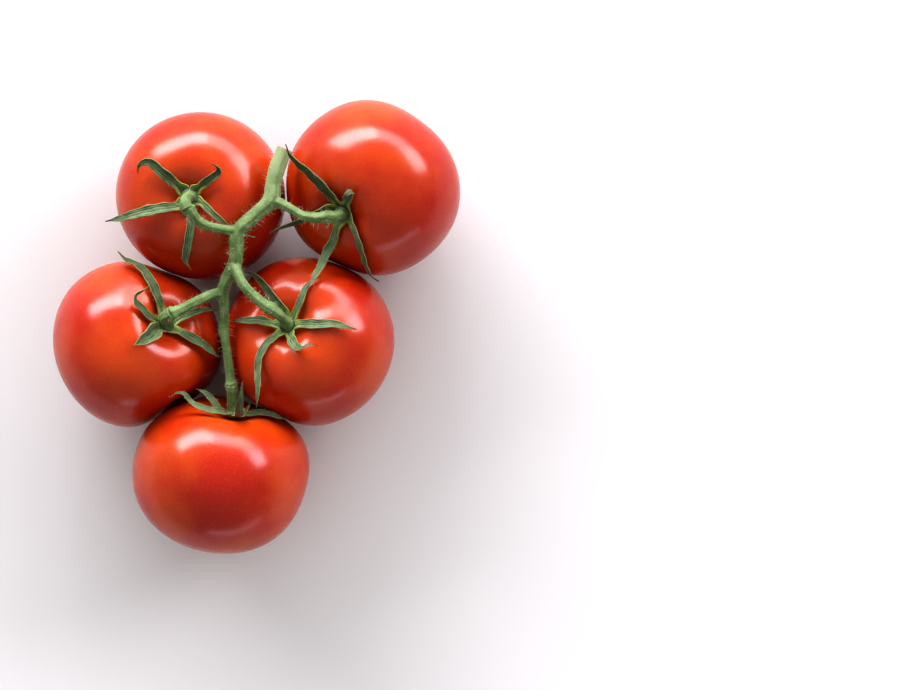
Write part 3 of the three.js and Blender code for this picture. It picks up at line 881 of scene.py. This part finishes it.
SEPALS = [
    [
        Sepal((3.4, 4.4, 3), [(6, 137, 1.2), (15, 137, 1.2), (23, 138, 2), (31, 139, 3.5),
                              (34, 147, 4.5), (35, 155, 3)], tone=0.05),
        Sepal((3, 3.6, 2.4), [(7, 41, 1.2), (15, 38, 1.3), (24, 38, 2.5), (25, 43, 4),
                              (24, 52, 5)], tone=0.1),
        Sepal((3.4, 4.6, 2.4), [(9, 222, 1.2), (18, 204, 1.5), (30, 199, 3), (42, 198, 5),
                                (59, 196, 7)], tone=0.8),
        Sepal((2.8, 3.6, 3), [(16, 276, 1.2), (25, 271, 1.1), (35, 267, 1.2), (43, 266, 2),
                              (48, 271, 4)], tone=0.95),
        Sepal((2.8, 3, 2), [(9, 333, 1.1), (17, 326, 1), (24, 324, 1), (33, 324, 1)], tone=0.7),
    ],
    [
        Sepal((3.4, 4.6, 2.6), [(9, 115, 1.2), (20, 118, 2), (29, 123, 5), (35, 126, 9), (39, 127, 12),
                                (43, 125, 15)], tone=0.05),
        Sepal((3, 3.4, 2), [(5, 69, 1.2), (15, 63, 1.8), (21, 63, 3.5), (19, 66, 5.4),
                            (14, 69, 5)], dry=0.4, tone=0.3),
        Sepal((2.8, 3, 1.6), [(9, 160, 1.2), (17, 188, 1.6), (26, 196, 4), (32, 198, 8),
                              (35, 200, 13)], tone=0.3),
        Sepal((3, 4, 2.4), [(7, 252, 1.2), (18, 256, 1.2), (24, 254, 4), (26, 257, 10), (26, 259, 16.5),
                            (26, 260, 22)], tone=0.6),
        Sepal((2.8, 3.2, 2), [(5, 341, 1.2), (16, 316, 1.2), (27, 303, 1.2), (36, 296, 1.5),
                              (49, 292, 2.5), (53, 294, 3.5)], tone=0.75),
    ],
    [
        Sepal((3.4, 4.4, 2.4), [(9, 120, 1.2), (17, 122, 1.2), (25, 121, 1.5), (35, 120, 2),
                                (43, 121, 2.5), (52, 123, 2.5),
                                (66, 120, 4)], tone=0.2),
        Sepal((3, 3.8, 1.6), [(13, 181, 1.2), (20, 170, 1.5), (25, 166, 3), (26, 160, 4.5),
                              (24, 150, 5), (23, 136, 5)], tone=0.3),
        Sepal((4.4, 7.4, 4.2), [(12, 223, 1.4), (20, 227, 2), (26, 226, 3),
                                (33, 225, 4.5)], fold=0.6, tone=0.35),
        Sepal((3.2, 4.6, 2.6), [(8, 330, 1.2), (16, 331, 1.3), (25, 334, 2), (33, 335, 3.5),
                                (41, 337, 5)], tone=0.4),
        Sepal((2.8, 3.2, 1.6), [(7, 25, 1.1), (15, 29, 1.2), (25, 29, 1.5), (34, 27, 2.5),
                                (38, 25, 3.5)], tone=0.4),
    ],
    [
        Sepal((3, 3.8, 2), [(9, 97, 1.2), (16, 113, 1.2), (24, 117, 1.5), (33, 120, 3), (39, 123, 5),
                            (43, 127, 6)], tone=0.15),
        Sepal((3, 3.4, 1.8), [(10, 48, 1.2), (17, 51, 1.2), (24, 56, 1.4), (32, 55, 1.4),
                              (37, 52, 1.6)], tone=0.6),
        Sepal((3.2, 4.2, 2.6), [(10, 354, 1.2), (22, 352, 1.2), (31, 354, 1.5), (39, 353, 2),
                                (47, 352, 3)], tone=0.7),
        Sepal((3.4, 4.2, 1.6), [(8, 291, 1.3), (17, 295, 1.5), (22, 303, 3), (24, 314, 4),
                                (28, 323, 3)], tone=0.6),
        Sepal((3, 3.2, 2.2), [(9, 228, 1.2), (17, 229, 1.2), (25, 233, 1.5), (34, 240, 2.5),
                              (42, 246, 5), (52, 249, 9)], tone=0.5),
        Sepal((3, 3.8, 2.2), [(9, 175, 1.2), (16, 171, 1.5), (25, 173, 1.6), (36, 172, 2)], tone=0.5),
    ],
    [
        Sepal((2.8, 3, 2), [(14, 247, 1.9), (21, 230, 2), (26, 218, 3), (29, 209, 5), (31, 205, 8),
                            (34, 203, 9), (38, 202, 8)], sky=0.7, tone=0.5),
        Sepal((2.6, 3.4, 2), [(10, 210, 1.5), (16, 200, 4), (20, 199, 6), (24, 200, 8)], sky=0.9, tone=0.7),
        Sepal((3, 4.2, 2), [(10, 292, 1.4), (21, 282, 3.6), (25, 278, 8), (25, 277, 14),
                            (23, 276, 19)], sky=0.3, tone=0.2),
        Sepal((2.6, 3, 1.8), [(7, 358, 1.2), (14, 0, 1.3), (22, 351, 2), (29, 350, 2.5),
                              (33, 352, 3.5)], sky=0.7, tone=0.4),
        Sepal((2.6, 3, 1.6), [(8, 336, 1.8), (12, 331, 4.5), (13, 330, 6)], sky=0.6, tone=0.3),
    ],
]

MAIN_STEM = [
    (12.4, 67.2, 52, 3.1), (9.5, 60, 52.5, 3), (8, 53.9, 53, 3), (7.3, 48.2, 54, 3.1), (1.1, 42.1, 55, 2.6),
    (-4.9, 36.1, 55.5, 2.7), (-5.5, 29, 54.2, 2.5), (-6.4, 24, 52.5, 2.7), (-9.6, 18.2, 50.5, 2.3),
    (-11.2, 13.8, 49.5, 2.3), (-10.8, 9, 48.5, 1.9), (-10.8, 3.2, 47.6, 1.9), (-10.9, 0.2, 47.2, 2),
    (-10.2, -5.4, 46.8, 1.65), (-9.4, -11.8, 46.2, 1.6), (-8.6, -18.4, 45.6, 1.8), (-8.2, -21.8, 45, 2.2),
]
BRANCHES = [
    [(-4.9, 36.1, 55.5, 2.2), (-10.1, 37, 56, 1.8), (-16, 38.1, 57, 1.75), (-19.6, 40.2, 58.6, 1.9),
     (-21.8, 42.8, 60, 2.2), (-22.9, 44.3, 60.3, 2.4)],
    [(7.6, 48.4, 54.2, 2.2), (14.1, 45, 55.2, 1.75), (19.5, 42.1, 56.2, 1.8), (24.9, 41.2, 57, 2),
     (28.6, 41.6, 56.6, 2.3)],
    [(-11.2, 13.8, 49.6, 2), (-14.7, 13.1, 50.6, 1.85), (-19.2, 10.9, 52.2, 1.85), (-23.6, 8.7, 54.2, 1.85),
     (-27.1, 6.8, 55.8, 1.9), (-29.4, 5.7, 56.2, 2.4)],
    [(-6.4, 24, 53.4, 2.1), (-4.2, 19, 55.6, 1.85), (-1.6, 15, 56.6, 1.85), (1.8, 11.6, 57.2, 1.95),
     (5.1, 9.1, 57.4, 2.05), (7, 7.7, 57.2, 2.3)],
]
NUBS = [
    [(-6.0, 34.0, 55.0, 1.3), (-7.8, 32.9, 54.9, 0.9), (-8.8, 32.2, 54.8, 0.45)],
    [(-3.0, 35.4, 55.2, 0.5), (-0.6, 34.6, 55.4, 0.35), (1.6, 34.0, 55.2, 0.3)],
    [(-7.6, 22.6, 53.6, 1.2), (-8.2, 21.7, 54.6, 0.5)],
]
STALKS = [
    [(-23.7, 45.4, 60.5, 2.3), (-24.1, 46.3, 60.1, 2.2), (-24.1, 47.8, 58, 2), (-23.6, 49, 55.4, 1.9)],
    [(29.4, 41.6, 56.5, 2.2), (30.5, 41.7, 56.1, 2.1), (31.8, 42.1, 54.8, 1.9)],
    [(-30.8, 5, 56.5, 2.3), (-31.7, 4.5, 56, 2.2), (-32.2, 3.7, 54.2, 2)],
    [(7.9, 7.1, 57, 2.2), (10.5, 5.2, 55.6, 1.9), (12.4, 2.9, 53.2, 1.9)],
    [(-8.1, -22.8, 44.9, 2.1), (-8.1, -25.6, 44, 1.85), (-8.2, -28.6, 42.8, 1.85)],
]


def vine() -> Stem:
    """Describes the main stem with its four side branches and old scars."""
    shoots = [Shoot(MAIN_STEM, rings=[(0.985, 0.35, 0.6)], longer=(0, 0.5))]
    shoots += [Shoot(branch, rings=[(0.97, 0.3, 0.6)], longer=(0, 0.5)) for branch in BRANCHES]
    shoots += [Shoot(nub, ridge=0.02, sides=16) for nub in NUBS]
    return Stem("vine_stem", "vine", shoots, seed=11, cut_end=(MAIN_STEM[0][:3], MAIN_STEM[1][:3]))


def stalk(tomato: Tomato, waypoints: list) -> Stem:
    """Describes the last piece of a fruit's stalk, from its knuckle to the hub of its calyx."""
    end = tomato.skin(0.0, 0.0) + tomato.axis * STALK_LIFT
    shoot = Shoot([*waypoints, (*end, 1.9)], rings=[(0.03, 0.2, 0.5), (0.97, 0.25, 0.9)], longer=(1.8, 0.6))
    return Stem(f"stalk_{tomato.number}_stem", f"stalk_{tomato.number}", [shoot], seed=30 + tomato.number,
                hairs=0.2)


# ---------------------------------------------------------------- stage


@dataclass
class Studio:
    """A pale floor, soft lights and a camera straight above, off to one side of the truss."""

    aside: tuple[float, float] = (73.4, -7.0)   # camera off the middle of the truss
    height: float = 1000.0
    lens: float = 101.57
    paper: tuple = (0.64, 0.64, 0.62)
    far: float = 5.0
    sky: tuple[float, float] = (0.36, 0.50)    # from the shaded side to the side of the windows
    panels: tuple = (    # name, compass, elevation, size in metres, watts, tint
        ("tall_window", 114, 22, (4.4, 2.0), 330, (0.96, 0.92, 1.0)),
        ("side_window", 34, 24, (2.4, 2.1), 130, (0.96, 0.91, 1.0)),
        ("between", 72, 22, (3.6, 1.9), 130, (0.96, 0.92, 1.0)),
        ("low_fill", 285, 4, (5.0, 0.7), 24, (0.82, 0.80, 1.0)),
    )

    def floor(self) -> None:
        """Lays the floor just under the fruit."""
        half = 1.3
        mesh = bpy.data.meshes.new("floor")
        mesh.from_pydata([(-half, -half, -0.0001), (half, -half, -0.0001), (half, half, -0.0001),
                          (-half, half, -0.0001)], [], [(0, 1, 2, 3)])
        floor = bpy.data.objects.new("floor", mesh)
        bpy.context.scene.collection.objects.link(floor)
        sheet = Recipe("pale_paper")
        sheet.set(Base_Color=(*self.paper, 1), Roughness=0.9, Specular_IOR_Level=0.2)
        mesh.materials.append(sheet.material)

    def lamp(self, name: str, place: tuple, aim: tuple, size: tuple, watts: float, tint: tuple) -> None:
        """Hangs one soft rectangular light; places are in metres."""
        light = bpy.data.lights.new(name, "AREA")
        light.shape = "RECTANGLE"
        light.size, light.size_y = size
        light.energy = watts
        light.color = tint
        holder = bpy.data.objects.new(name, light)
        holder.location = place
        holder.rotation_euler = (Vector(aim) - Vector(place)).to_track_quat("-Z", "Y").to_euler()
        bpy.context.scene.collection.objects.link(holder)

    def lights(self) -> None:
        """Lights the truss from two low windows beyond its cut end, with soft fill round it."""
        for name, compass, rise, size, watts, tint in self.panels:
            aim = direction(compass, rise) * self.far
            self.lamp(name, tuple(aim), (0, 0, 0.03), size, watts, tint)
        world = bpy.data.worlds.new("studio")
        world.use_nodes = True
        tree = world.node_tree
        way = tree.nodes.new("ShaderNodeTexCoord")
        side = tree.nodes.new("ShaderNodeVectorMath")
        side.operation = "DOT_PRODUCT"
        side.inputs[1].default_value = (-0.35, 0.65, 0.45)
        glow = tree.nodes.new("ShaderNodeMapRange")
        glow.inputs["From Min"].default_value = -1.0
        glow.inputs["To Min"].default_value, glow.inputs["To Max"].default_value = self.sky
        back = tree.nodes["Background"]
        back.inputs["Color"].default_value = (1.0, 0.99, 1.0, 1.0)
        tree.links.new(way.outputs["Generated"], side.inputs[0])
        tree.links.new(side.outputs["Value"], glow.inputs["Value"])
        tree.links.new(glow.outputs["Result"], back.inputs["Strength"])
        bpy.context.scene.world = world
        bpy.context.scene.view_settings.view_transform = "Standard"
        bpy.context.scene.view_settings.look = "High Contrast"

    def camera(self) -> None:
        """Sets the camera looking straight down."""
        low, high = CAD_BOX
        middle = (low + high) / 2
        data = bpy.data.cameras.new("camera")
        data.sensor_width = 36.0
        data.lens = self.lens
        holder = bpy.data.objects.new("camera", data)
        holder.location = (middle.x + self.aside[0] * MM, middle.y + self.aside[1] * MM, self.height * MM)
        bpy.context.scene.collection.objects.link(holder)
        bpy.context.scene.camera = holder


def main() -> None:
    """Builds the truss piece by piece, then the stage."""
    logging.basicConfig(level=logging.INFO, format="%(name)s %(message)s")
    skin, green = SkinFinish().material(), StemFinish().material()
    leaf = SepalFinish().material()
    fuzz = Fuzz(HairFinish().material())
    for tomato, sepals, waypoints in zip(TOMATOES, SEPALS, STALKS):
        tomato.dress(tomato.build(), skin)
        calyx = Calyx(tomato, sepals)
        calyx.dress(calyx.build(), leaf, fuzz)
        stub = stalk(tomato, waypoints)
        stub.dress(stub.build(), green, fuzz)
    stem = vine()
    stem.dress(stem.build(), green, fuzz)
    studio = Studio()
    studio.floor()
    studio.lights()
    studio.camera()


if __name__ == "__main__":
    main()
